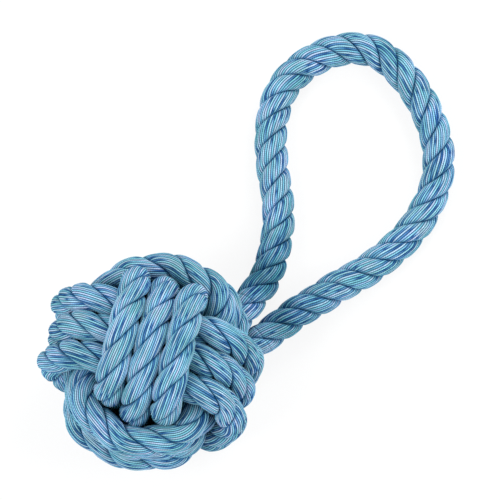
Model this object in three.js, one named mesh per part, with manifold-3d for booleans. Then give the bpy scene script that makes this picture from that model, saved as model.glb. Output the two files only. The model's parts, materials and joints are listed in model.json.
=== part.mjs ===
// Rope dog toy: a monkey's fist ball wound from one rope, whose rest is a hand loop.
//
// Lengths are millimetres and +Z is up. The toy lies on the plane z = 0 as on a table, with the
// origin under the middle of its outer box, the ball towards -X and -Y and the loop away from it.
// The rope comes in as the loop's lower leg, winds the ball in three sets of three turns and ends
// under them. The loop's upper leg goes back into the ball by a corner between the sets.

import * as THREE from 'three';
import { mergeVertices } from 'three/addons/utils/BufferGeometryUtils.js';
import Module from 'manifold-3d';

const wasm = await Module();
wasm.setup();

// Driving sizes. The rope is thinner in the ball, where it is drawn tight.
const ROPE_DIAMETER = 14;
const DRAWN_DIAMETER = 12.3;
const CORE_DIAMETER = 37;
const LAY_GAP = 0.7;
const SEAT_GAP = 0.3;
const TURNS_PER_SET = 3;
const FIST_TURN_DEGREES = -15.5;

// The hand loop's middle line from its upper leg round to its lower leg, as chosen points:
// x and y from the ball's middle, and the rope's height off the table.
const LOOP_ROUTE = [
  [46.5, 40.5, 9], [49, 44.5, 8], [51.5, 51.5, 6.4], [53.5, 60.5, 4.4], [55, 71.5, 2.2],
  [54.5, 83.5, 0.7], [52.5, 96.5, 0], [51.5, 109.5, 0], [52.5, 121.5, 0], [56.5, 133.5, 0],
  [64, 142.5, 0], [74, 149, 0], [85.5, 152.5, 0], [97.5, 151, 0], [107.5, 143.5, 0],
  [115.5, 133.5, 0], [121.5, 121.5, 0], [125.5, 107.5, 0], [125.5, 94.5, 0], [122.5, 83.5, 0],
  [116.5, 72.5, 0], [108.5, 62.5, 0], [99.5, 54.5, 0.2], [90.5, 48, 0.9], [81, 42.5, 2],
  [73, 36.5, 3.1], [65.5, 32, 3.9], [59, 27, 4],
];

// Facets and steps
const LOOP_SIDES = 12;
const LOOP_STEPS = 56;
const LOOP_END_SIDES = 16;
const LOOP_END_RINGS = 12;
const WINDING_SIDES = 8;
const STEPS_PER_DIAMETER = 2.4;
const STRAIGHT_STEPS = 3;
const NECK_STEPS = 3;
const CORE_SIDES = 32;
const CORE_RINGS = 20;
const ARC_DIVISIONS = 40;
const MERGE_DISTANCE = 0.001;

// Where the rope goes between the sets, in shares of the distance to an edge of the pattern:
// in from the lower leg, from the first set to the second, and from the second to the third.
const EDGE_SHARE = 0.74;
const ENTRY_SHARES = [[1.25, 0.42, -1.5], [0.7, 0.5, -1.35]];
const FIRST_CHANGE_SHARES = [[1.1, -0.5, -0.95], [0.75, -0.6, -1.4]];
const SECOND_CHANGE_SHARES = [
  [-0.8, -0.95, -1.25], [-1.3, -0.5, -1.5], [-1.45, 0.1, -1.4], [-0.95, 1.15, -1],
];
const END_LAY_SHARES = [0.25, 1.25];
const TUCK_LAY_SHARES = [1.1, 0];

// How the turns are drawn tight, in stages, and how deep the table flattens the ball
const DRAWING = { rounds: 320, thinnestShare: 0.4, smoothShare: 0.25, holdShare: 0.02 };
const EVENING = { rounds: 120, thinnestShare: 1, smoothShare: 0.12, holdShare: 0.01 };
const SETTLING = { rounds: 160, thinnestShare: 1, smoothShare: 0, holdShare: 0 };
const GROWING_SHARE = 0.8;
const PUSH_SHARE = 0.35;
const PUSHES_PER_ROUND = 3;
const ROUNDS_PER_SEARCH = 10;
const APART_SHARE = 1.7;
const REACH_SHARE = 1.9;
const PARALLEL_SHARE = 1e-9;
const REST_SHARE = 0.99;
const FLAT_SHARE = 0.1;
const TABLE_SHARE = 8;

// Colours of the dyed cotton and of the core, which hardly shows
const ROPE_COLOUR = 0x5f9fc4;
const CORE_COLOUR = 0xd8d2c4;

const ropeRadius = ROPE_DIAMETER / 2;
const drawnRadius = DRAWN_DIAMETER / 2;
const coreRadius = CORE_DIAMETER / 2;
const lay = DRAWN_DIAMETER + LAY_GAP;
const innerRadius = coreRadius + lay / 2;
const outerRadius = innerRadius + lay;
const middleRadius = (innerRadius + outerRadius) / 2;
const edgeRadius = middleRadius * EDGE_SHARE;
const coreReach = coreRadius + SEAT_GAP + drawnRadius;
const restDepth = outerRadius * REST_SHARE;
const flatDepth = DRAWN_DIAMETER * FLAT_SHARE;
const fistHeight = restDepth + drawnRadius - flatDepth;
const step = lay / STEPS_PER_DIAMETER;
const apartSteps = Math.ceil(APART_SHARE * STEPS_PER_DIAMETER);

// The ball's own axes: right, top, and front, which faces up
const RIGHT = [1, 0, 0];
const LEFT = [-1, 0, 0];
const TOP = [0, 1, 0];
const BOTTOM = [0, -1, 0];
const FRONT = [0, 0, 1];
const BACK = [0, 0, -1];

// Each set of turns runs from pole to pole, by turns over and under the other two sets.
// Its turns lie side by side across the set, the first on the given side. As on the real ball,
// the sets are uneven: the spacing, the edges after each pole, and the poles turn by turn have
// shares of their own.
const EVEN_POLES = [1, 1, 1, 1];
const SETS = [
  {
    poles: [BACK, LEFT, FRONT, RIGHT],
    firstIsOver: false,
    across: TOP,
    side: 1,
    spacingShare: 1,
    edgeShares: [0.7, EDGE_SHARE, EDGE_SHARE, EDGE_SHARE],
    poleShares: [[1, 0.7, 1, 1], [1, 0.88, 1, 1], [1, 0.95, 1, 0.94]],
  },
  {
    poles: [BACK, TOP, FRONT, BOTTOM],
    firstIsOver: true,
    across: RIGHT,
    side: 1,
    spacingShare: 1.06,
    edgeShares: [EDGE_SHARE, EDGE_SHARE, EDGE_SHARE, EDGE_SHARE],
    poleShares: [EVEN_POLES, EVEN_POLES, EVEN_POLES],
  },
  {
    poles: [TOP, RIGHT, BOTTOM, LEFT],
    firstIsOver: true,
    across: FRONT,
    side: -1,
    spacingShare: 1,
    edgeShares: [EDGE_SHARE, EDGE_SHARE, EDGE_SHARE, 0.6],
    poleShares: [EVEN_POLES, EVEN_POLES, EVEN_POLES],
  },
];

const along = (axis, distance) => new THREE.Vector3(...axis).multiplyScalar(distance);

function turnPoints(set) {
  const points = [];
  const middleTurn = (TURNS_PER_SET - 1) / 2;
  const spacing = set.side * set.spacingShare * lay;
  for (let turn = 0; turn < TURNS_PER_SET; turn++) {
    const offset = (middleTurn - turn) * spacing;
    set.poles.forEach((pole, i) => {
      const isOver = (i % 2 === 0) === set.firstIsOver;
      const isLast = i === set.poles.length - 1;
      const radius = (isOver ? outerRadius : innerRadius) * set.poleShares[turn][i];
      points.push(along(pole, radius).add(along(set.across, offset)));
      if (isLast && turn === TURNS_PER_SET - 1) return;
      const next = set.poles[(i + 1) % set.poles.length];
      const reach = middleRadius * set.edgeShares[i];
      const shift = isLast ? spacing / 2 : 0;
      points.push(along(pole, reach).add(along(next, reach)).add(along(set.across, offset - shift)));
    });
  }
  return points;
}

const loopCurve = new THREE.CatmullRomCurve3(
  LOOP_ROUTE.map(([x, y, lift]) => new THREE.Vector3(x, y, lift + ropeRadius)),
);

const fist = new THREE.Group();
fist.rotation.z = THREE.MathUtils.degToRad(FIST_TURN_DEGREES);
fist.position.z = fistHeight;
fist.updateMatrixWorld(true);
const toFist = fist.matrixWorld.clone().invert();

// A leg's root starts square to the loop, a gap short of its round end, and runs straight on.
function rootPoints(share) {
  const exit = loopCurve.getPoint(share).applyMatrix4(toFist);
  const inwards = loopCurve.getTangent(share).transformDirection(toFist);
  if (share === 0) inwards.negate();
  return Array.from({ length: STRAIGHT_STEPS + 1 }, (_, n) => {
    const distance = ropeRadius + SEAT_GAP + n * step;
    return exit.clone().addScaledVector(inwards, distance);
  });
}

function windingGuide() {
  const [first, second, third] = SETS.map(turnPoints);
  const lastPole = third[third.length - 1];
  const place = (shares) => along(shares, edgeRadius);
  return [
    ...rootPoints(1),
    ...ENTRY_SHARES.map(place),
    ...first,
    ...FIRST_CHANGE_SHARES.map(place),
    ...second,
    ...SECOND_CHANGE_SHARES.map(place),
    ...third,
    ...END_LAY_SHARES.map((share) => lastPole.clone().add(along(TOP, share * lay))),
  ];
}

function tuckGuide() {
  const corner = new THREE.Vector3().add(along(RIGHT, 1)).add(along(TOP, 1)).add(along(BACK, 1));
  const nearCore = TUCK_LAY_SHARES.map((share) => {
    return corner.clone().setLength(coreRadius + SEAT_GAP + share * lay);
  });
  return [...rootPoints(0), ...nearCore];
}

function spaced(points) {
  const curve = new THREE.CatmullRomCurve3(points, false, 'catmullrom', 0.5);
  curve.arcLengthDivisions = ARC_DIVISIONS * points.length;
  return curve.getSpacedPoints(Math.round(curve.getLength() / step));
}

// Shares along two pieces of rope at which they come nearest
function nearestShares(p1, q1, p2, q2) {
  const a = q1.clone().sub(p1);
  const b = q2.clone().sub(p2);
  const c = p1.clone().sub(p2);
  const aa = a.dot(a);
  const bb = b.dot(b);
  const ab = a.dot(b);
  const ac = a.dot(c);
  const bc = b.dot(c);
  const { clamp } = THREE.MathUtils;
  const spread = aa * bb - ab * ab;
  const isParallel = spread <= PARALLEL_SHARE * aa * bb;
  const s = isParallel ? 0 : clamp((ab * bc - ac * bb) / spread, 0, 1);
  const t = (ab * s + bc) / bb;
  const held = clamp(t, 0, 1);
  return [held === t ? s : clamp((ab * held - ac) / aa, 0, 1), held];
}

function nearest(points, i, j) {
  const [s, t] = nearestShares(points[i], points[i + 1], points[j], points[j + 1]);
  const apart = points[i].clone().lerp(points[i + 1], s);
  apart.sub(points[j].clone().lerp(points[j + 1], t));
  return { s, t, apart, distance: apart.length() };
}

// Pairs of pieces near each other, apart from those that follow each other along one rope
function closePairs(points, secondStart) {
  const pairs = [];
  const middles = points.slice(1).map((p, i) => p.clone().add(points[i]).multiplyScalar(0.5));
  for (let i = 0; i < middles.length; i++) {
    if (i === secondStart - 1) continue;
    for (let j = i + 1; j < middles.length; j++) {
      const isSameRope = (i < secondStart) === (j < secondStart);
      if (j === secondStart - 1 || (isSameRope && j - i < apartSteps)) continue;
      if (middles[i].distanceTo(middles[j]) < REACH_SHARE * lay) pairs.push([i, j]);
    }
  }
  return pairs;
}

function pushApart(points, pairs, isFree, spacing) {
  const moves = points.map(() => new THREE.Vector3());
  for (const [i, j] of pairs) {
    const { s, t, apart, distance } = nearest(points, i, j);
    if (distance >= spacing) continue;
    apart.multiplyScalar(PUSH_SHARE * (spacing - distance) / distance);
    moves[i].addScaledVector(apart, 1 - s);
    moves[i + 1].addScaledVector(apart, s);
    moves[j].addScaledVector(apart, t - 1);
    moves[j + 1].addScaledVector(apart, -t);
  }
  points.forEach((p, i) => {
    if (!isFree[i]) return;
    p.add(moves[i]);
    if (p.length() < coreReach) p.setLength(coreReach);
    p.z = Math.max(p.z, -restDepth);
  });
}

// The winding starts thin and grows to its full size. Each round draws every stretch straight,
// holds it near its place in the pattern, and pushes it off the core, the table and the others.
function tighten(winding, tuck, { rounds, thinnestShare, smoothShare, holdShare }) {
  const points = [...winding, ...tuck];
  const pattern = points.map((p) => p.clone());
  const lastFree = winding.length - STRAIGHT_STEPS - 2;
  const isFree = points.map((p, i) => i > STRAIGHT_STEPS && i <= lastFree);
  let pairs = [];
  for (let round = 0; round < rounds; round++) {
    if (round % ROUNDS_PER_SEARCH === 0) pairs = closePairs(points, winding.length);
    const grown = Math.min(1, round / (GROWING_SHARE * rounds));
    const spacing = lay * THREE.MathUtils.lerp(thinnestShare, 1, grown);
    const old = points.map((p) => p.clone());
    points.forEach((p, i) => {
      if (!isFree[i]) return;
      const middle = old[i - 1].clone().add(old[i + 1]).multiplyScalar(0.5);
      p.addScaledVector(middle.sub(old[i]), smoothShare);
      p.addScaledVector(pattern[i].clone().sub(old[i]), holdShare);
    });
    for (let push = 0; push < PUSHES_PER_ROUND; push++) pushApart(points, pairs, isFree, spacing);
  }
  return points.slice(0, winding.length);
}

// A leg's root starts at the rope's full size and thins to the drawn size.
function radiusAt(i) {
  return THREE.MathUtils.lerp(ropeRadius, drawnRadius, THREE.MathUtils.smoothstep(i, 0, NECK_STEPS));
}

function leastGap(winding, tuck) {
  const points = [...winding, ...tuck];
  const radius = (i) => radiusAt(i < winding.length ? i : i - winding.length);
  const gaps = closePairs(points, winding.length).map(([i, j]) => {
    return nearest(points, i, j).distance - radius(i) - radius(j);
  });
  return Math.min(...gaps);
}

const tuck = spaced(tuckGuide());
let winding = tighten(spaced(windingGuide()), tuck, DRAWING);
winding = tighten(spaced(winding), tuck, EVENING);
winding = tighten(winding, tuck, SETTLING);
console.log(`fist_winding: least gap to itself and the tucked end ${leastGap(winding, tuck).toFixed(2)} mm`);

// One unbroken tube along a list of points, with flat ends
function tube(points) {
  const normal = new THREE.Vector3(...FRONT);
  const positions = [];
  points.forEach((point, i) => {
    const from = points[Math.max(i - 1, 0)];
    const to = points[Math.min(i + 1, points.length - 1)];
    const tangent = to.clone().sub(from).normalize();
    normal.addScaledVector(tangent, -normal.dot(tangent)).normalize();
    const side = tangent.clone().cross(normal);
    for (let k = 0; k < WINDING_SIDES; k++) {
      const angle = 2 * Math.PI * k / WINDING_SIDES;
      const rim = point.clone().addScaledVector(normal, radiusAt(i) * Math.cos(angle));
      positions.push(...rim.addScaledVector(side, radiusAt(i) * Math.sin(angle)).toArray());
    }
  });
  const index = [];
  const last = (points.length - 1) * WINDING_SIDES;
  for (let ring = 0; ring < last; ring += WINDING_SIDES) {
    for (let k = 0; k < WINDING_SIDES; k++) {
      const a = ring + k;
      const b = ring + (k + 1) % WINDING_SIDES;
      index.push(a, b, b + WINDING_SIDES, a, b + WINDING_SIDES, a + WINDING_SIDES);
    }
  }
  for (let k = 1; k < WINDING_SIDES - 1; k++) {
    index.push(0, k + 1, k, last, last + k, last + k + 1);
  }
  const geometry = new THREE.BufferGeometry();
  geometry.setAttribute('position', new THREE.Float32BufferAttribute(positions, 3));
  geometry.setIndex(index);
  return geometry;
}

// Solids for joining and cutting, and back again
function solid(geometry) {
  const plain = geometry.clone();
  plain.deleteAttribute('normal');
  plain.deleteAttribute('uv');
  const merged = mergeVertices(plain, MERGE_DISTANCE);
  const vertProperties = Float32Array.from(merged.attributes.position.array);
  const triVerts = Uint32Array.from(merged.index.array);
  return new wasm.Manifold(new wasm.Mesh({ numProp: 3, vertProperties, triVerts }));
}

function geometryOf(body) {
  const { vertProperties, triVerts } = body.getMesh();
  const geometry = new THREE.BufferGeometry();
  geometry.setAttribute('position', new THREE.BufferAttribute(vertProperties, 3));
  geometry.setIndex(new THREE.BufferAttribute(triVerts, 1));
  return geometry;
}

// The winding, cut flat where the ball stands on it
function fistWinding() {
  const size = TABLE_SHARE * outerRadius;
  const table = new THREE.BoxGeometry(size, size, size).translate(0, 0, -fistHeight - size / 2);
  return geometryOf(solid(tube(winding)).subtract(solid(table)));
}

// The loop, with an end rounded about the place where each leg turns on its root
function handLoop() {
  const section = new THREE.Shape();
  for (let k = 0; k < LOOP_SIDES; k++) {
    const angle = 2 * Math.PI * (k + 0.5) / LOOP_SIDES;
    const point = [ropeRadius * Math.cos(angle), ropeRadius * Math.sin(angle)];
    if (k === 0) section.moveTo(...point);
    else section.lineTo(...point);
  }
  const options = { steps: LOOP_STEPS, extrudePath: loopCurve, bevelEnabled: false };
  let body = solid(new THREE.ExtrudeGeometry(section, options));
  for (const share of [0, 1]) {
    const end = new THREE.SphereGeometry(ropeRadius, LOOP_END_SIDES, LOOP_END_RINGS);
    body = body.add(solid(end.translate(...loopCurve.getPoint(share).toArray())));
  }
  return geometryOf(body);
}

const cotton = new THREE.MeshStandardMaterial({ color: ROPE_COLOUR, roughness: 0.95, metalness: 0 });
const filling = new THREE.MeshStandardMaterial({ color: CORE_COLOUR, roughness: 0.9, metalness: 0 });

function addPiece(group, name, geometry, material) {
  const mesh = new THREE.Mesh(geometry, material);
  mesh.name = name;
  group.add(mesh);
}

const toy = new THREE.Group();
toy.add(fist);
addPiece(fist, 'core_ball', new THREE.SphereGeometry(coreRadius, CORE_SIDES, CORE_RINGS), filling);
addPiece(fist, 'fist_winding', fistWinding(), cotton);
addPiece(fist, 'tucked_end', tube(tuck), cotton);
addPiece(toy, 'hand_loop', handLoop(), cotton);

// The origin goes under the middle of the toy's outer box.
const middle = new THREE.Box3().setFromObject(toy, true).getCenter(new THREE.Vector3());
toy.position.set(-middle.x, -middle.y, 0);

export default toy;
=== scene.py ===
# %% [markdown]
# # A rope dog toy: a monkey's fist with a hand loop
#
# The toy is one thick cotton rope. Three twisted strands are laid up into the rope, the rope is
# wound into a ball called a monkey's fist, and what is left over is a loop to hold. Nothing else
# is in it but the wad that the ball is wound on, so the whole look is rope: how the strands turn
# round each other, how the yarns run along a strand, and how the dye changes along every yarn.
#
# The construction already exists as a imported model. This script takes the ball's place and the
# loop's hinge from it, repeats the rope's sizes and route, and draws the real rope along that line.

# %% Load the frame
import json
import math

import bpy
import numpy as np
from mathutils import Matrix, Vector


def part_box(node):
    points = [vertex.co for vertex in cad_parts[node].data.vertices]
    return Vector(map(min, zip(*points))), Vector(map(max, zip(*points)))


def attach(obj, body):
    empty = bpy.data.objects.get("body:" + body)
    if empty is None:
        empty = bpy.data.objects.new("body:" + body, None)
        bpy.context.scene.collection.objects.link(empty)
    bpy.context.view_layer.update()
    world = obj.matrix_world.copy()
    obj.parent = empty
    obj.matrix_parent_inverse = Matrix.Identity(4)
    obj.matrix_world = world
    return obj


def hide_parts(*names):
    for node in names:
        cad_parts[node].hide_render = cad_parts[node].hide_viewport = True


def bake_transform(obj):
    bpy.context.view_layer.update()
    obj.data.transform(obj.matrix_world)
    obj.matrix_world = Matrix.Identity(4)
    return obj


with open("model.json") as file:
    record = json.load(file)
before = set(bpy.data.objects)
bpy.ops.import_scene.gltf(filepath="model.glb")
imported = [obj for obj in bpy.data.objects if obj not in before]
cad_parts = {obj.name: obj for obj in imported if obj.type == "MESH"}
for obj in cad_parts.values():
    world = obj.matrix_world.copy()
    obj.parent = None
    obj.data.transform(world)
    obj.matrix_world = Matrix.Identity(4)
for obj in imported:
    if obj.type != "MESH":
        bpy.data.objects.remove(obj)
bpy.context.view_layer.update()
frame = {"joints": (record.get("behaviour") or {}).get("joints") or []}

# %% [markdown]
# ## Where things are
#
# The ball's core is round, so the middle of its box is the middle of the fist. Every size below
# is in metres. The fist is laid out round its middle. The loop's points are measured from there
# too, apart from their heights, which start at the table.

# %% The ball's middle and the rope's sizes
MM = 0.001
ROPE = 14 * MM
DRAWN = 12.3 * MM
CORE = 37 * MM
LAY_GAP = 0.7 * MM
SEAT_GAP = 0.3 * MM
FIST_TURN = math.radians(-15.5)
TURNS_PER_SET = 3

core_low, core_high = (np.array(corner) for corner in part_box("core_ball"))
fist_middle = (core_low + core_high) / 2
ball_on_table = fist_middle * (1, 1, 0)
print("middle of the fist", fist_middle.round(4))

# %% [markdown]
# ## The camera
#
# The toy was photographed from nearly overhead through a long lens, so the ball and the loop show
# at the same scale. The photograph is 221 mm wide at the toy. A far camera with a long lens gives
# that flat look, and its direction is a tilt of 75 degrees above the table.

# %% Camera
ELEVATION = math.radians(75)
FRAME_WIDTH = 220.8 * MM
CAMERA_DISTANCE = 6
AIM_RIGHT = 42.3 * MM
AIM_UP = 59.6 * MM
SENSOR_MM = 36

look = np.array([0, math.cos(ELEVATION), -math.sin(ELEVATION)])
up = np.array([0, math.sin(ELEVATION), math.cos(ELEVATION)])
aim = ball_on_table + AIM_RIGHT * np.array([1, 0, 0]) + AIM_UP * up
bpy.ops.object.camera_add(location=aim - CAMERA_DISTANCE * look)
camera = bpy.context.object
camera.name = "photo_camera"
camera.rotation_euler = Vector(look).to_track_quat("-Z", "Y").to_euler()
camera.data.sensor_width = SENSOR_MM
camera.data.lens = SENSOR_MM * CAMERA_DISTANCE / FRAME_WIDTH
camera.data.clip_end = 4 * CAMERA_DISTANCE
bpy.context.scene.camera = camera
print("lens", round(camera.data.lens), "mm")

# %% [markdown]
# ## The loop's line
#
# The loop lies on the table as a few listed points, which a smooth curve joins: up the left
# leg, round the far end and back down the right leg. Each point is x and y from the ball's middle
# and how far the rope is lifted off the table, because both legs rise to meet the ball.
#
# A curve's points are rounded to a nanometre. Further down, the knot is drawn tight in hundreds of
# rounds, which would make a difference in the last digit grow. Rounded, it is the same on each run.

# %% The route of the hand loop
LOOP_ROUTE = [
    (0.0465, 0.0405, 0.009), (0.049, 0.0445, 0.008), (0.0515, 0.0515, 0.0064),
    (0.0535, 0.0605, 0.0044), (0.055, 0.0715, 0.0022), (0.0545, 0.0835, 0.0007),
    (0.0525, 0.0965, 0), (0.0515, 0.1095, 0), (0.0525, 0.1215, 0), (0.0565, 0.1335, 0),
    (0.064, 0.1425, 0), (0.074, 0.149, 0), (0.0855, 0.1525, 0), (0.0975, 0.151, 0),
    (0.1075, 0.1435, 0), (0.1155, 0.1335, 0), (0.1215, 0.1215, 0), (0.1255, 0.1075, 0),
    (0.1255, 0.0945, 0), (0.1225, 0.0835, 0), (0.1165, 0.0725, 0), (0.1085, 0.0625, 0),
    (0.0995, 0.0545, 0.0002), (0.0905, 0.048, 0.0009), (0.081, 0.0425, 0.002),
    (0.073, 0.0365, 0.0031), (0.0655, 0.032, 0.0039), (0.059, 0.027, 0.004),
]
FINE_STEPS = 24
NANOMETRE_DIGITS = 9


def lengths_along(line):
    """How far each point of a line is from its start, along the line."""
    return np.r_[0, np.cumsum(np.linalg.norm(np.diff(line, axis=0), axis=1))]


def smooth_curve(points):
    """A curve that passes through all the points, with many short steps between them."""
    p = np.vstack([2 * points[0] - points[1], points, 2 * points[-1] - points[-2]])
    t = np.arange(FINE_STEPS)[:, None] / FINE_STEPS
    a, b, c, d = p[:-3, None], p[1:-2, None], p[2:-1, None], p[3:, None]
    bend = 2 * a - 5 * b + 4 * c - d
    curve = b + t * (c - a + t * (bend + t * (3 * b - a - 3 * c + d))) / 2
    return np.vstack([curve.reshape(-1, 3), points[-1]]).round(NANOMETRE_DIGITS)


def evenly(line, step):
    """The same line in steps of one length."""
    along = lengths_along(line)
    wanted = np.linspace(0, along[-1], round(along[-1] / step) + 1)
    return np.stack([np.interp(wanted, along, line[:, k]) for k in range(3)], axis=1)


loop_points = np.array(LOOP_ROUTE) + ball_on_table + (0, 0, ROPE / 2)
loop_line = smooth_curve(loop_points)
print("hand loop", round(lengths_along(loop_line)[-1], 3), "m long")

# %% [markdown]
# ## The pattern of the fist
#
# A monkey's fist has three sets of three turns, each at right angles to the others. A turn crosses
# over one set and under the other, four times on its way round, so the pattern needs only the
# points where turns pass the ball's six poles and the edges between them. The sets are as uneven
# as on the real ball, so each has shares for its own spacing, edges and poles. Shares of the
# distance to an edge bring the rope in and lead it from one set to the next.

# %% Turns of the three sets
lay = DRAWN + LAY_GAP
inner = CORE / 2 + lay / 2
outer = inner + lay
EDGE_SHARE = 0.74
middle = (inner + outer) / 2
edge = middle * EDGE_SHARE
STEPS_PER_DIAMETER = 2.4
STRAIGHT_STEPS = 3
step = lay / STEPS_PER_DIAMETER

RIGHT, TOP, FRONT = np.eye(3)
LEFT, BOTTOM, BACK = -np.eye(3)
EVEN = [1, 1, 1, 1]
SETS = [
    dict(
        poles=[BACK, LEFT, FRONT, RIGHT], first_is_over=False, across=TOP, spacing_share=1,
        edge_shares=[0.7, EDGE_SHARE, EDGE_SHARE, EDGE_SHARE],
        pole_shares=[[1, 0.7, 1, 1], [1, 0.88, 1, 1], [1, 0.95, 1, 0.94]],
    ),
    dict(
        poles=[BACK, TOP, FRONT, BOTTOM], first_is_over=True, across=RIGHT, spacing_share=1.06,
        edge_shares=[EDGE_SHARE, EDGE_SHARE, EDGE_SHARE, EDGE_SHARE],
        pole_shares=[EVEN, EVEN, EVEN],
    ),
    dict(
        poles=[TOP, RIGHT, BOTTOM, LEFT], first_is_over=True, across=BACK, spacing_share=1,
        edge_shares=[EDGE_SHARE, EDGE_SHARE, EDGE_SHARE, 0.6],
        pole_shares=[EVEN, EVEN, EVEN],
    ),
]


def turn_points(poles, first_is_over, across, spacing_share, edge_shares, pole_shares):
    """The places that one set's turns pass, pole by pole and edge by edge."""
    points = []
    spacing = spacing_share * lay * across
    for turn in range(TURNS_PER_SET):
        offset = ((TURNS_PER_SET - 1) / 2 - turn) * spacing
        for i, pole in enumerate(poles):
            is_over = (i % 2 == 0) == first_is_over
            points.append(pole * (outer if is_over else inner) * pole_shares[turn][i] + offset)
            is_last = i == len(poles) - 1
            if is_last and turn == TURNS_PER_SET - 1:
                return points
            following = poles[(i + 1) % len(poles)]
            shift = spacing / 2 if is_last else 0
            points.append((pole + following) * middle * edge_shares[i] + offset - shift)


fist_turns = TURNS_PER_SET * len(SETS)
print(len(SETS), "sets with", fist_turns, "turns in all")

# %% The whole pattern, with the ways in and between the sets
ENTRY_SHARES = [(1.25, 0.42, -1.5), (0.7, 0.5, -1.35)]
FIRST_CHANGE_SHARES = [(1.1, -0.5, -0.95), (0.75, -0.6, -1.4)]
SECOND_CHANGE_SHARES = [
    (-0.8, -0.95, -1.25), (-1.3, -0.5, -1.5), (-1.45, 0.1, -1.4), (-0.95, 1.15, -1),
]
END_LAY_SHARES = [0.25, 1.25]
TUCK_LAY_SHARES = [1.1, 0]

turned = np.array([
    [math.cos(FIST_TURN), -math.sin(FIST_TURN), 0],
    [math.sin(FIST_TURN), math.cos(FIST_TURN), 0],
    [0, 0, 1],
])


def root(end, neighbour):
    """The straight start of a leg inside the ball, in the fist's own axes."""
    inwards = (end - neighbour) / np.linalg.norm(end - neighbour)
    distances = ROPE / 2 + SEAT_GAP + step * np.arange(STRAIGHT_STEPS + 1)
    return (end + distances[:, None] * inwards - fist_middle) @ turned


first, second, third = (turn_points(**each) for each in SETS)
winding_guide = np.array([
    *root(loop_line[-1], loop_line[-2]),
    *np.array(ENTRY_SHARES) * edge,
    *first,
    *np.array(FIRST_CHANGE_SHARES) * edge,
    *second,
    *np.array(SECOND_CHANGE_SHARES) * edge,
    *third,
    *[third[-1] + TOP * share * lay for share in END_LAY_SHARES],
])
corner = (RIGHT + TOP + BACK) / math.sqrt(3)
tuck_guide = np.array([
    *root(loop_line[0], loop_line[1]),
    *[corner * (CORE / 2 + SEAT_GAP + share * lay) for share in TUCK_LAY_SHARES],
])
print("pattern of", len(winding_guide), "places")

# %% [markdown]
# ## Drawing the fist tight
#
# On a real toy the pattern is first laid loosely and then worked tight, until every turn rests on
# the turns below it. The same is done here. The rope starts thin, so that nothing touches, and
# grows to its full size, while each stretch pulls itself straight and pushes its neighbours off.
# What comes out has the small unevenness of a knot made by hand.

# %% Stages of tightening
DRAWING = dict(rounds=320, thinnest=0.4, smooth=0.25, hold=0.02)
EVENING = dict(rounds=120, thinnest=1, smooth=0.12, hold=0.01)
SETTLING = dict(rounds=160, thinnest=1, smooth=0, hold=0)
GROWING_SHARE = 0.8
PUSH_SHARE = 0.35
PUSHES_PER_ROUND = 3
ROUNDS_PER_SEARCH = 10
APART_SHARE = 1.7
REACH_SHARE = 1.9
PARALLEL_SHARE = 1e-9
REST_SHARE = 0.99

core_reach = CORE / 2 + SEAT_GAP + DRAWN / 2
rest_depth = outer * REST_SHARE
print(DRAWING["rounds"] + EVENING["rounds"] + SETTLING["rounds"], "rounds in three stages")

# %% Which stretches touch
def close_pairs(points, second_start):
    """Pieces of rope near each other, but not those that follow each other along one rope."""
    middles = (points[1:] + points[:-1]) / 2
    i, j = np.triu_indices(len(middles), 1)
    same_rope = (i < second_start) == (j < second_start)
    apart = ~same_rope | (j - i >= math.ceil(APART_SHARE * STEPS_PER_DIAMETER))
    real = (i != second_start - 1) & (j != second_start - 1)
    near = np.linalg.norm(middles[i] - middles[j], axis=1) < REACH_SHARE * lay
    return i[apart & real & near], j[apart & real & near]


def nearest_shares(p, i, j):
    """How far along each of two pieces they come nearest, as shares of their length."""
    a, b, c = p[i + 1] - p[i], p[j + 1] - p[j], p[i] - p[j]
    aa, bb, ab, ac, bc = ((u * v).sum(1) for u, v in ((a, a), (b, b), (a, b), (a, c), (b, c)))
    spread = aa * bb - ab * ab
    parallel = spread <= PARALLEL_SHARE * aa * bb
    s = np.where(parallel, 0, np.clip((ab * bc - ac * bb) / np.where(parallel, 1, spread), 0, 1))
    t = (ab * s + bc) / bb
    held = np.clip(t, 0, 1)
    return np.where(held == t, s, np.clip((ab * held - ac) / aa, 0, 1)), held


# %% Pulling straight and pushing apart
def push_apart(p, i, j, free, spacing):
    """Moves pieces that lie too close away from each other, and off the core and the table."""
    s, t = (share[:, None] for share in nearest_shares(p, i, j))
    between = p[i] + s * (p[i + 1] - p[i]) - p[j] - t * (p[j + 1] - p[j])
    distance = np.linalg.norm(between, axis=1, keepdims=True)
    push = PUSH_SHARE * np.maximum(spacing - distance, 0) * between / distance
    moves = np.zeros_like(p)
    for index, share in ((i, 1 - s), (i + 1, s), (j, t - 1), (j + 1, -t)):
        np.add.at(moves, index, share * push)
    moved = p + moves
    radius = np.linalg.norm(moved, axis=1, keepdims=True)
    moved *= np.maximum(1, core_reach / radius)
    moved[:, 2] = np.maximum(moved[:, 2], -rest_depth)
    return np.where(free, moved, p)


def tighten(winding, tuck, rounds, thinnest, smooth, hold):
    """One stage of working the fist tight. The tuck and the winding's two ends stay put."""
    p = np.vstack([winding, tuck])
    pattern = p.copy()
    number = np.arange(len(p))[:, None]
    free = (number > STRAIGHT_STEPS) & (number <= len(winding) - STRAIGHT_STEPS - 2)
    for done in range(rounds):
        if done % ROUNDS_PER_SEARCH == 0:
            i, j = close_pairs(p, len(winding))
        grown = min(1, done / (GROWING_SHARE * rounds))
        spacing = lay * (thinnest + (1 - thinnest) * grown)
        middles = p.copy()
        middles[1:-1] = (p[2:] + p[:-2]) / 2
        p = np.where(free, p + smooth * (middles - p) + hold * (pattern - p), p)
        for _ in range(PUSHES_PER_ROUND):
            p = push_apart(p, i, j, free, spacing)
    return p[:len(winding)]


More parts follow.
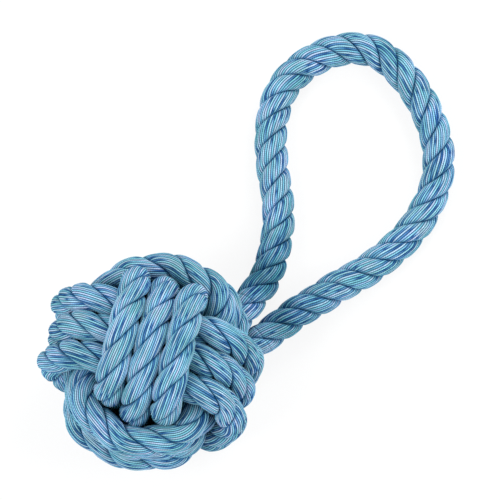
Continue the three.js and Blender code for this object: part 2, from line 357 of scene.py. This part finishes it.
# %% Tightening
tuck = evenly(smooth_curve(tuck_guide), step)
winding = tighten(evenly(smooth_curve(winding_guide), step), tuck, **DRAWING)
winding = tighten(evenly(smooth_curve(winding), step), tuck, **EVENING)
winding = tighten(winding, tuck, **SETTLING)
print("winding", round(lengths_along(winding)[-1], 3), "m long")

# %% [markdown]
# ## One rope from end to end
#
# The toy's rope is one piece, so its line is made as one: from the end that is tucked in beside
# the core, out along the left leg, round the loop, back in and through all nine turns. Strands
# and dye then run on from the loop into the ball without a break.

# %% The rope's middle line and its frame
RING_STEP = 1 * MM
EASE_RINGS = 5
EASE_ROUNDS = 3


def eased(line, rings, rounds):
    """Takes the small kinks out of a line by averaging each point with its neighbours."""
    window = np.ones(rings) / rings
    for _ in range(rounds):
        padded = np.vstack([line[:1]] * (rings // 2) + [line] + [line[-1:]] * (rings // 2))
        line = np.stack([np.convolve(padded[:, k], window, "valid") for k in range(3)], axis=1)
    return line


def carried_frame(line):
    """Two directions square to a line, carried along it without twisting."""
    tangent = np.gradient(line, axis=0)
    tangent /= np.linalg.norm(tangent, axis=1, keepdims=True)
    normal = np.empty_like(tangent)
    carried = np.array([0.0, 0.0, 1.0])
    for i, direction in enumerate(tangent):
        carried = carried - direction * (carried @ direction)
        carried /= np.linalg.norm(carried)
        normal[i] = carried
    return normal, np.cross(tangent, normal)


tuck_on_table = tuck @ turned.T + fist_middle
winding_on_table = winding @ turned.T + fist_middle
whole = np.vstack([tuck_on_table[::-1], loop_line[::FINE_STEPS], winding_on_table])
rope_line = eased(evenly(smooth_curve(whole), RING_STEP), EASE_RINGS, EASE_ROUNDS)
across, beside = carried_frame(rope_line)
distance = lengths_along(rope_line)
print("rope", round(distance[-1], 2), "m long in", len(rope_line), "rings")

# %% [markdown]
# ## How the rope is laid
#
# Three strands turn round the rope's line to the right, like the middle stroke of a Z. The yarns in
# each strand turn the other way, which stops a real rope from untwisting, and on the outside of the
# rope they run nearly along it. Where the rope was pulled through to tie the ball, it is thinner
# and its strands turn more slowly, and along the loop they turn a little unevenly, as in a rope
# that has been handled. One short pattern, repeated along the line, could not follow these changes,
# so each of them is a number for every ring of the rope.

# %% Lay along the rope
LOOP_ROPE = 14.4 * MM
FIST_ROPE = 13.5 * MM
NARROWING = 30 * MM
LOOP_LAY = 31 * MM
FIST_LAY = 40 * MM
LAY_SHARES = [0.06, 0.13, 0.4, 0.49, 0.58, 0.67, 0.755, 0.845, 0.93]
LAY_DEGREES = [45, 18, 18, 0, -36, -56, -87, -122, -139]
FIRST_STRAND_TURN = math.radians(20)
LOOP_YARN_TURNS = 1.57
FIST_YARN_TURNS = 1.5

loop_start = lengths_along(tuck)[-1] + ROPE / 2 + SEAT_GAP
loop_end = loop_start + lengths_along(loop_line)[-1]
from_loop = np.maximum(np.maximum(loop_start - distance, distance - loop_end), 0)
looseness = np.clip(1 - from_loop / NARROWING, 0, 1)
rope_width = FIST_ROPE + (LOOP_ROPE - FIST_ROPE) * looseness
turn_rate = 2 * math.pi / (FIST_LAY + (LOOP_LAY - FIST_LAY) * looseness)
along_loop = (distance - loop_start) / (loop_end - loop_start)
uneven_lay = np.radians(np.interp(along_loop, LAY_SHARES, LAY_DEGREES))
strand_turn = FIRST_STRAND_TURN + uneven_lay + np.cumsum(turn_rate * np.gradient(distance))
yarn_turns = FIST_YARN_TURNS + (LOOP_YARN_TURNS - FIST_YARN_TURNS) * looseness
yarn_turn = np.cumsum(yarn_turns * np.gradient(strand_turn))
print("loop from", round(loop_start, 3), "to", round(loop_end, 3), "m along the rope")

# %% [markdown]
# ## What is uneven in it
#
# A cotton rope is never quite regular: a strand is fuller here and thinner there, and yarns stand
# up or sink a little. Noise could push the finished mesh about, but that would blur the yarns. So
# smooth random numbers along the rope change the size of each strand and the height of each yarn.

# %% Unevenness of strands and yarns
STRANDS = 3
YARNS = 24
STRAND_FULLNESS_SHARE = 0.035
FULLNESS_SPACING = 18 * MM
YARN_STRAY = 0.07 * MM
STRAY_SPACING = 9 * MM
SEED = 7

chance = np.random.default_rng(SEED)


def wander(spacing, rows):
    """Smooth random numbers from -1 to 1 along the rope, one row for each thing that varies."""
    knots = chance.uniform(-1, 1, (rows, int(distance[-1] / spacing) + 2))
    place = distance / spacing
    before = place.astype(int)
    ease = (1 - np.cos(np.pi * (place - before))) / 2
    return knots[:, before] * (1 - ease) + knots[:, before + 1] * ease


strand_fullness = 1 + STRAND_FULLNESS_SHARE * wander(FULLNESS_SPACING, STRANDS)
yarn_stray = YARN_STRAY * wander(STRAY_SPACING, STRANDS * YARNS)
print(STRANDS, "strands of", YARNS, "yarns")

# %% [markdown]
# ## The section of a strand
#
# The strands press each other flat where they meet, so a strand is rounded outside and has two
# walls inside. Yarns spaced by angle would spread out at its corners and show as wavy lines. So
# their places are measured along the outline of the section, and they run straight.

# %% Section
STRAND_PLACE_SHARE = 0.27
STRAND_DEPTH_SHARE = 0.235
STRAND_WIDTH_SHARE = 0.33
WALL_SHARE = 0.92 * STRAND_PLACE_SHARE
CORNER_SHARPNESS = 10
SECTION_STEPS = 720


def strand_reach(angle):
    """How far a strand's surface is from its middle: rounded outside, flat against the others."""
    cos, sin = np.cos(angle), np.sin(angle)
    outside = np.hypot(cos / STRAND_DEPTH_SHARE, sin / STRAND_WIDTH_SHARE)
    walls = [np.maximum(side * sin - math.sqrt(3) * cos, 0) / (2 * WALL_SHARE) for side in (1, -1)]
    return sum(each ** CORNER_SHARPNESS for each in (outside, *walls)) ** (-1 / CORNER_SHARPNESS)


section_angles = 2 * math.pi * np.arange(SECTION_STEPS + 1) / SECTION_STEPS
section = np.stack([np.cos(section_angles), np.sin(section_angles)], axis=1)
section_places = lengths_along(section * strand_reach(section_angles)[:, None])
print("way round a strand", round(section_places[-1], 2), "times the rope's width")
section_places *= 2 * math.pi / section_places[-1]

# %% [markdown]
# ## The surface of a strand
#
# The mesh is built in rings, and its columns follow the yarns, so four columns for each show it as
# a raised cord. That is real relief, which a bump in the finish could not give at the outline.
#
# Soft lamps alone leave the deep places lighter than they are on the real toy, so shade is painted
# there. Two numbers on the mesh carry this painted shade: how open a point lies between the
# strands, and how much daylight reaches it inside the ball and where the loop, in the ball's
# shadow, leaves it.

# %% Strand surface
YARN_PROFILE_SHARES = np.array([0, 0.75, 1, 0.75])
YARN_DEPTH = 0.3 * MM
# Painted shade: the colour darkens in the creases, deep in the ball and where the loop leaves it.
CREASE_SHARES = (0.33, 0.43)
BALL_DEPTHS = (29 * MM, 42 * MM)
DEPTH_SHADES = (0.3, 1)
ROOT_LENGTHS = (-14 * MM, 0, 10 * MM, 30 * MM)
LEFT_ROOT_SHADES = (1, 0.56, 0.68, 1)
RIGHT_ROOT_SHADES = (1, 0.74, 0.8, 1)

columns = YARNS * len(YARN_PROFILE_SHARES)
column_angles = 2 * math.pi * np.arange(columns) / columns
left_root = np.interp(distance - loop_start, ROOT_LENGTHS, LEFT_ROOT_SHADES)
right_root = np.interp(loop_end - distance, ROOT_LENGTHS, RIGHT_ROOT_SHADES)
print(columns, "columns round a strand")


def strand_points(rings, strand):
    """The surface of one strand, ring by ring, with its openness and its daylight."""
    turn = strand_turn[rings] + 2 * math.pi * strand / STRANDS
    cos, sin = np.cos(turn)[:, None], np.sin(turn)[:, None]
    out = cos * across[rings] + sin * beside[rings]
    onward = cos * beside[rings] - sin * across[rings]
    width = rope_width[rings][:, None]
    place = (column_angles - yarn_turn[rings][:, None]) % (2 * math.pi)
    angle = np.interp(place, section_places, section_angles)
    yarns = slice(strand * YARNS, (strand + 1) * YARNS)
    stray = np.repeat(yarn_stray[yarns, rings].T, len(YARN_PROFILE_SHARES), axis=1)
    raised = np.tile(YARN_PROFILE_SHARES, YARNS) - 1
    relief = YARN_DEPTH * raised + stray * (1 + raised)
    full = width * strand_fullness[strand, rings][:, None]
    reach = strand_reach(angle) * full + relief
    outwards, askance = STRAND_PLACE_SHARE * width + np.cos(angle) * reach, np.sin(angle) * reach
    points = rope_line[rings][:, None] + outwards[..., None] * out[:, None]
    points += askance[..., None] * onward[:, None]
    # Painted shade: openness darkens the creases, daylight the depths of the ball and the loop's
    # roots.
    openness = np.interp(np.hypot(outwards, askance) / width, CREASE_SHARES, (0, 1))
    in_ball = np.interp(np.linalg.norm(points - fist_middle, axis=2), BALL_DEPTHS, DEPTH_SHADES)
    in_root = (left_root * right_root)[rings][:, None]
    return points, openness, in_ball * in_root


# %% [markdown]
# ## A stretch of rope
#
# A piece of rope is three closed strands between two rings. It gets a map of its own: the first
# number is the distance along the whole rope, and the second counts the strands and, as shares,
# the yarns round each. So a finish can colour every yarn by itself, and run on from piece to piece.
# What would be under the table is pressed flat against it.

# %% Rope piece
FLOOR_SOFTNESS = 0.6 * MM


def above_table(z):
    """Presses what would be under the table flat against it."""
    pressed = FLOOR_SOFTNESS * np.exp(np.minimum(z / FLOOR_SOFTNESS - 1, 0))
    return np.where(z < FLOOR_SOFTNESS, pressed, z)


def rope_piece(name, first_ring, last_ring):
    """A mesh of the rope between two rings: three closed strands with a map along the yarns."""
    rings = np.arange(first_ring, last_ring + 1)
    strands = [strand_points(rings, strand) for strand in range(STRANDS)]
    corners, openness, daylight = (np.concatenate(each) for each in zip(*strands))
    corners = corners.reshape(-1, 3)
    corners[:, 2] = above_table(corners[:, 2])
    ring, column = np.meshgrid(np.arange(len(rings) - 1), np.arange(columns), indexing="ij")
    a = (ring * columns + column).ravel()
    b = (ring * columns + (column + 1) % columns).ravel()
    walls = np.stack([a, b, b + columns, a + columns], axis=1)
    first_cap = np.arange(columns)[::-1]
    last_cap = np.arange(columns) + (len(rings) - 1) * columns
    faces, places = [], []
    for strand in range(STRANDS):
        start = strand * len(rings) * columns
        for part in (walls, first_cap[None], last_cap[None]):
            faces += (part + start).tolist()
        low, high = distance[rings][ring.ravel()], distance[rings][ring.ravel() + 1]
        left, right = column.ravel() / columns + strand, (column.ravel() + 1) / columns + strand
        wall_corners = ((low, left), (low, right), (high, right), (high, left))
        wall_map = np.stack([np.stack(each, axis=1) for each in wall_corners], axis=1)
        places += [wall_map.reshape(-1, 2), np.full((2 * columns, 2), strand, float)]
    mesh = bpy.data.meshes.new(name)
    mesh.from_pydata(corners, [], faces)
    mesh.polygons.foreach_set("use_smooth", [len(face) == 4 for face in faces])
    yarn_map = mesh.uv_layers.new(name="yarns")
    yarn_map.uv.foreach_set("vector", np.vstack(places).astype(np.float32).ravel())
    # The two numbers of painted shade are kept on the mesh.
    for title, values in (("openness", openness), ("daylight", daylight)):
        attribute = mesh.attributes.new(title, "FLOAT", "POINT")
        attribute.data.foreach_set("value", values.astype(np.float32).ravel())
    mesh.update()
    piece = bpy.data.objects.new(name, mesh)
    bpy.context.collection.objects.link(piece)
    triangles = sum(len(face) - 2 for face in faces)
    print(name, "rings", first_ring, "to", last_ring, "with", triangles, "triangles")
    return piece


# %% [markdown]
# ## The hand loop
#
# The loop is a free rope, lying limp on the table. It is one mesh from end to end, because a seam
# at the ball would open when the loop is lifted. So it reaches a little way into the ball at both
# ends.

# %% Loop, with its ends in the ball
HELD_LENGTH = 12 * MM

loop_rings = np.searchsorted(distance, [loop_start - HELD_LENGTH, loop_end + HELD_LENGTH])

hand_loop = rope_piece("hand_loop_rope", *loop_rings)
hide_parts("hand_loop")
swing = next(joint for joint in frame["joints"] if joint["name"] == "handle_swing")
pivot, swing_axis = np.array(swing["pos_m"]), np.array(swing["axis"])
outwards = loop_line[FINE_STEPS] - loop_line[0] + loop_line[-FINE_STEPS - 1] - loop_line[-1]
outwards -= swing_axis * (outwards @ swing_axis)
outwards /= np.linalg.norm(outwards)
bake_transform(hand_loop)

# %% [markdown]
# ## The ball
#
# The rest of the rope is the tucked end and the nine turns. As one mesh it would be too heavy, so
# it is cut into nine pieces of one length, about a turn each. The cuts don't show, because strands
# and dye run on across them.

# %% Tucked end and turns
last_ring = len(rope_line) - 1
tucked = rope_piece("tucked_rope_end", 0, loop_rings[0])
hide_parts("tucked_end")
fist_pieces = [tucked]
cuts = np.linspace(loop_rings[1], last_ring, fist_turns + 1).astype(int)
for number, (start, end) in enumerate(zip(cuts[:-1], cuts[1:]), 1):
    turn = rope_piece(f"fist_turn_{number}", start, end)
    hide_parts("fist_winding")
    fist_pieces.append(turn)

# %% [markdown]
# ## The core
#
# Between the turns the eye looks in at what they are wound on. A wad of the same cotton is a ball
# with a lumpy surface, so an icosphere is displaced by soft noise.

# %% Core
WAD_DETAIL = 5
WAD_LUMPS = 1.2 * MM
WAD_LUMP_WIDTH = 6 * MM
bpy.ops.object.select_all(action="DESELECT")
bpy.ops.mesh.primitive_ico_sphere_add(
    subdivisions=WAD_DETAIL, radius=CORE / 2 - WAD_LUMPS, location=fist_middle,
)
core = bpy.context.object
core.name = "core_wad"
lumps = bpy.data.textures.new("wad_lumps", "CLOUDS")
lumps.noise_scale = WAD_LUMP_WIDTH
displace = core.modifiers.new("lumps", "DISPLACE")
displace.texture = lumps
displace.strength = 2 * WAD_LUMPS
bpy.ops.object.modifier_apply(modifier="lumps")
bpy.ops.object.transform_apply(location=True, rotation=True, scale=True)
bpy.ops.object.shade_smooth()
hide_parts("core_ball")
fist_pieces.append(core)
for piece in fist_pieces:
    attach(piece, "fist")
print(len(fist_pieces), "pieces ride on the fist")

# %% [markdown]
# ## Shader maths in plain expressions
#
# A finish is a graph of nodes, but most of it is arithmetic on numbers that change over the
# surface. One small class stands for such a number, so that it can be written as in Python.

# %% A value
class Value:
    """A number or colour that changes over a surface."""

    def __init__(self, graph, socket):
        self.graph = graph
        self.socket = socket

    def __add__(self, other):
        return self.graph.maths("ADD", self, other)

    def __sub__(self, other):
        return self.graph.maths("SUBTRACT", self, other)

    def __rsub__(self, other):
        return self.graph.maths("SUBTRACT", other, self)

    def __mul__(self, other):
        return self.graph.maths("MULTIPLY", self, other)

    def __truediv__(self, other):
        return self.graph.maths("DIVIDE", self, other)

    def __pow__(self, other):
        return self.graph.maths("POWER", self, other)

    __radd__ = __add__
    __rmul__ = __mul__


# %% A graph and a finish
class Graph:
    """Shader nodes, added one call at a time."""

    def __init__(self, tree):
        self.tree = tree

    def node(self, kind, settings=(), inputs=(), output=0):
        """Adds a node: its settings are set first, then its sockets are filled or linked."""
        made = self.tree.nodes.new(kind)
        settings = dict(settings)
        stops = settings.pop("stops", None)
        for name, value in settings.items():
            setattr(made, name, value)
        if stops:
            elements = made.color_ramp.elements
            while len(elements) < len(stops):
                elements.new(1)
            for element, (position, colour) in zip(elements, stops):
                element.position = position
                element.color = colour
        self.fill(made, inputs)
        return Value(self, made.outputs[output])

    def fill(self, node, inputs):
        """Sets or links sockets of a node."""
        for name, value in dict(inputs).items():
            if isinstance(value, Value):
                self.tree.links.new(value.socket, node.inputs[name])
            else:
                node.inputs[name].default_value = value

    def maths(self, operation, *terms):
        """One step of arithmetic on numbers that change over the surface."""
        return self.node("ShaderNodeMath", {"operation": operation}, dict(enumerate(terms)))

    def mix(self, share, first, second, blend="MIX"):
        """One colour turned into another. The colours are inputs 6 and 7 and output 2."""
        settings = {"data_type": "RGBA", "blend_type": blend, "clamp_result": True}
        inputs = {"Factor": share, 6: first, 7: second}
        return self.node("ShaderNodeMix", settings, inputs, output=2)


class Finish(Graph):
    """A material for pieces."""

    def __init__(self, name):
        self.material = bpy.data.materials.new(name)
        self.material.use_nodes = True
        super().__init__(self.material.node_tree)
        self.surface = self.tree.nodes["Principled BSDF"]


# %% Colours from a screen
SCREEN_KNEE = 0.04045
SCREEN_SLOPE = 12.92
SCREEN_SHIFT = 0.055
SCREEN_POWER = 2.4


def screen_colour(red, green, blue):
    """A colour as it looks on a screen, as the light values that Blender works in."""
    screen = np.array([red, green, blue]) / 255
    curved = ((screen + SCREEN_SHIFT) / (1 + SCREEN_SHIFT)) ** SCREEN_POWER
    light = np.where(screen <= SCREEN_KNEE, screen / SCREEN_SLOPE, curved)
    return (*light.tolist(), 1)


# %% [markdown]
# ## Dyed cotton, with painted shade
#
# The cotton was dyed in patches before it was spun, so every yarn passes from turquoise to pale
# blue, lavender and navy on its own, and neighbours differ. The yarn map gives both numbers this
# needs: the distance along the rope, and which yarn of which strand this is. Every yarn steps
# through one ramp of dyes from a start of its own, and soft noise makes it linger or hurry. Fine
# noise and the turns of the plies make it cotton. Shade is painted into the colour as well: the
# grooves between yarns are painted dark blue and the creases between strands deep teal, a painted
# shade that is blue because light grows bluer at each bounce between blue fibres.

# %% Dyes, painted shade, fibres and plies
DYES = [
    (0.00, screen_colour(46, 90, 142)),
    (0.06, screen_colour(84, 137, 180)),
    (0.14, screen_colour(124, 186, 212)),
    (0.40, screen_colour(140, 206, 221)),
    (0.60, screen_colour(174, 209, 227)),
    (0.78, screen_colour(180, 203, 230)),
    (0.88, screen_colour(126, 177, 213)),
    (0.95, screen_colour(75, 126, 173)),
    (1.00, screen_colour(46, 90, 142)),
]
TURQUOISE_TONE = (0.84, 1, 0.94, 1)
LAVENDER_TONE = (0.98, 0.92, 1, 1)
TONE_START, TONE_RANGE = -0.7, 2.4
# Painted shade: dark blue in the grooves between yarns, deep teal in the creases between strands.
GROOVE_SHADE_COLOUR = screen_colour(0, 30, 74)
GROOVE_BOTTOM_SHARE, GROOVE_TOP_SHARE = 0.98, 0.02
GROOVE_IN_CREASE_SHARE = 0.65
CREASE_SHADE_COLOUR = screen_colour(26, 104, 156)
CREASE_SHARE = 0.6
YARN_PHASE = 0.382
PASSING_LENGTH = 60 * MM
PATCH_LENGTH = 26 * MM
PATCH_START_RANGE = 400
PATCH_PHASE = 0.9
TINT_LENGTH = 14 * MM
TINT_PHASE = 0.6
TINT_SHADE, TINT_SHADE_RANGE = 0.65, 0.7
FIBRE_LENGTH = 3.5 * MM
FIBRES_PER_YARN = 3
FIBRE_SHADE, FIBRE_SHADE_RANGE = 0.665, 0.95
PLY_LENGTH = 0.95 * MM
PLY_SLANT = 0.8
PLY_PHASE = 0.37
PLY_SHADE_RANGE = 0.14
PLY_RELIEF = 0.3
BUMP_STRENGTH = 0.5
BUMP_HEIGHT = 0.1 * MM
DAYLIGHT_POWERS = {"Red": 1.6, "Green": 1, "Blue": 0.85}
COTTON_ROUGHNESS = 0.92
print(len(DYES), "stops of dye")

# %% Cotton material
def cotton_dye_and_painted_shade():
    """Space-dyed cotton yarn, quite matte, with painted shade in its grooves, creases and depths.
    """
    finish = Finish("cotton_dye_and_painted_shade")
    place = finish.node("ShaderNodeUVMap", {"uv_map": "yarns"})
    along = finish.node("ShaderNodeSeparateXYZ", (), {0: place})
    around = Value(finish, along.socket.node.outputs["Y"]) * YARNS
    yarn = finish.maths("FLOOR", around)
    within = around - yarn
    hump = 1 - finish.maths("ABSOLUTE", within * 2 - 1)
    openness = finish.node("ShaderNodeAttribute", {"attribute_name": "openness"}, (), "Fac")
    daylight = finish.node("ShaderNodeAttribute", {"attribute_name": "daylight"}, (), "Fac")

    start = finish.node("ShaderNodeTexWhiteNoise", {"noise_dimensions": "1D"}, {"W": yarn})
    patch = finish.node("ShaderNodeTexNoise", {"noise_dimensions": "1D"}, {
        "W": along / PATCH_LENGTH + start * PATCH_START_RANGE, "Scale": 1, "Detail": 1,
    })
    where = finish.node("ShaderNodeTexCoord", output="Object")
    tint = finish.node("ShaderNodeTexNoise", (), {
        "Vector": where, "Scale": 1 / TINT_LENGTH, "Detail": 1,
    })
    phase = yarn * YARN_PHASE + along / PASSING_LENGTH + patch * PATCH_PHASE + tint * TINT_PHASE
    dyed = finish.node("ShaderNodeValToRGB", {"stops": DYES}, {0: finish.maths("FRACT", phase)})
    turquoise = finish.mix(1.0, dyed, TURQUOISE_TONE, "MULTIPLY")
    lavender = finish.mix(1.0, dyed, LAVENDER_TONE, "MULTIPLY")
    dyed = finish.mix(tint * TONE_RANGE + TONE_START, turquoise, lavender)

    # Painted shade: grooves between yarns go dark blue, more so in the creases, which also turn
    # deep teal.
    groove = GROOVE_BOTTOM_SHARE - hump * (GROOVE_BOTTOM_SHARE - GROOVE_TOP_SHARE)
    relief = openness * (1 - GROOVE_IN_CREASE_SHARE) + GROOVE_IN_CREASE_SHARE
    depth = 1 - (1 - groove) * relief
    colour = finish.mix(depth, dyed, GROOVE_SHADE_COLOUR)
    colour = finish.mix((1 - openness) * CREASE_SHARE, colour, CREASE_SHADE_COLOUR)

    fibre_at = finish.node("ShaderNodeCombineXYZ", (), {
        0: along / FIBRE_LENGTH, 1: around * FIBRES_PER_YARN,
    })
    fibre = finish.node("ShaderNodeTexNoise", {"noise_dimensions": "2D"}, {
        "Vector": fibre_at, "Scale": 1, "Detail": 2,
    })
    ply_turn = along / PLY_LENGTH + within * PLY_SLANT + yarn * PLY_PHASE
    ply = finish.maths("SINE", ply_turn * (2 * math.pi))
    cotton_shade = fibre * FIBRE_SHADE_RANGE + FIBRE_SHADE + ply * PLY_SHADE_RANGE
    shade = cotton_shade * (tint * TINT_SHADE_RANGE + TINT_SHADE)
    # Painted shade: low daylight darkens the colour, red fastest, so the shade turns bluer.
    grey = finish.node("ShaderNodeCombineColor", (), {
        name: shade * daylight ** power for name, power in DAYLIGHT_POWERS.items()
    })
    bump = finish.node("ShaderNodeBump", (), {
        "Height": fibre + ply * PLY_RELIEF, "Strength": BUMP_STRENGTH, "Distance": BUMP_HEIGHT,
    })
    finish.fill(finish.surface, {
        "Base Color": finish.mix(1.0, colour, grey, "MULTIPLY"), "Normal": bump,
        "Roughness": COTTON_ROUGHNESS, "Specular IOR Level": 0,
    })
    return finish.material


# %% Cotton on the rope
def dress(piece, material):
    """Gives a whole piece one finish."""
    piece.data.materials.clear()
    piece.data.materials.append(material)


cotton = cotton_dye_and_painted_shade()
rope_pieces = [piece for piece in (hand_loop, *fist_pieces) if piece != core]
for piece in rope_pieces:
    dress(piece, cotton)
print("dyed cotton on", len(rope_pieces), "pieces")

# %% [markdown]
# ## The core's filling
#
# Only a little of the core shows, deep between the turns. It is loose cotton of one dull blue. It
# needs no yarns, only fine noise for its fibres.

# %% Core material
WAD_DYE = screen_colour(66, 96, 122)
WAD_FIBRE_LENGTH = 1.5 * MM
WAD_SHADE, WAD_SHADE_RANGE = 0.5, 0.8


def core_cotton():
    """Loose cotton of one blue, for what shows of the core between the turns."""
    finish = Finish("core_cotton")
    where = finish.node("ShaderNodeTexCoord", output="Object")
    fibre = finish.node("ShaderNodeTexNoise", (), {
        "Vector": where, "Scale": 1 / WAD_FIBRE_LENGTH, "Detail": 3,
    })
    shade = fibre * WAD_SHADE_RANGE + WAD_SHADE
    grey = finish.node("ShaderNodeCombineColor", (), {
        "Red": shade, "Green": shade, "Blue": shade,
    })
    finish.fill(finish.surface, {
        "Base Color": finish.mix(1.0, WAD_DYE, grey, "MULTIPLY"),
        "Roughness": COTTON_ROUGHNESS, "Specular IOR Level": 0,
    })
    return finish.material


dress(core, core_cotton())
print("filling on", core.name)

# %% [markdown]
# ## Stage and light
#
# The toy was cut out on plain white. A pale floor takes its soft shadow, and floor and world show
# as white to the camera without throwing more light on the rope. Three soft boxes on different
# sides and the even light of the world give the flat light of the photograph.

# %% Floor
FLOOR_SIZE = 12
FLOOR_DROP = 0.1 * MM
FLOOR_COLOUR = (0.9, 0.9, 0.9, 1)
SHOWN_WHITE_SHARE = 0.86


def seen_straight(graph):
    """1 for what the eye sees directly or in a reflection, and 0 for light between surfaces."""
    path = graph.node("ShaderNodeLightPath").socket.node
    kinds = ("Is Camera Ray", "Is Glossy Ray", "Is Transmission Ray")
    return graph.maths("MINIMUM", sum(Value(graph, path.outputs[kind]) for kind in kinds), 1)


bpy.ops.object.select_all(action="DESELECT")
bpy.ops.mesh.primitive_plane_add(size=FLOOR_SIZE, location=(0, 0, -FLOOR_DROP))
floor = bpy.context.object
floor.name = "floor"
pale = Finish("pale_floor")
white = pale.node("ShaderNodeEmission", (), {"Color": (1, 1, 1, 1), "Strength": 1})
pale.fill(pale.surface, {"Base Color": FLOOR_COLOUR, "Roughness": 1})
lit = Value(pale, pale.surface.outputs[0])
share = seen_straight(pale) * SHOWN_WHITE_SHARE
shown = pale.node("ShaderNodeMixShader", (), {0: share, 1: lit, 2: white})
pale.fill(pale.tree.nodes["Material Output"], {"Surface": shown})
floor.data.materials.append(pale.material)
print("floor", FLOOR_SIZE, "m wide")

# %% Lamps and world
WORLD_LIGHT = 0.63
SOFTBOX_SIZE = 0.45
SOFTBOX_PLACES_AND_WATTS = {
    "near_softbox": ((-0.58, -0.4, 0.85), 6.9),
    "right_softbox": ((0.75, -0.2, 0.7), 4.3),
    "far_softbox": ((0.35, 0.72, 0.75), 5),
}

for name, (place, watts) in SOFTBOX_PLACES_AND_WATTS.items():
    bpy.ops.object.light_add(type="AREA", location=place)
    softbox = bpy.context.object
    softbox.name = name
    softbox.data.size = SOFTBOX_SIZE
    softbox.data.energy = watts
    towards_toy = Vector(fist_middle) - Vector(place)
    softbox.rotation_euler = towards_toy.to_track_quat("-Z", "Y").to_euler()
    print(name, watts, "W")
world = bpy.data.worlds.new("studio")
bpy.context.scene.world = world
world.use_nodes = True
sky = Graph(world.node_tree)
strength = seen_straight(sky) * (1 - WORLD_LIGHT) + WORLD_LIGHT
sky.fill(sky.tree.nodes["Background"], {"Color": (1, 1, 1, 1), "Strength": strength})
bpy.context.scene.view_settings.view_transform = "Standard"

# %% [markdown]
# ## Finishing
#
# The rope may stand a little proud of the imported model, as cloth does, and no more.

# %% Finish
bpy.context.view_layer.update()
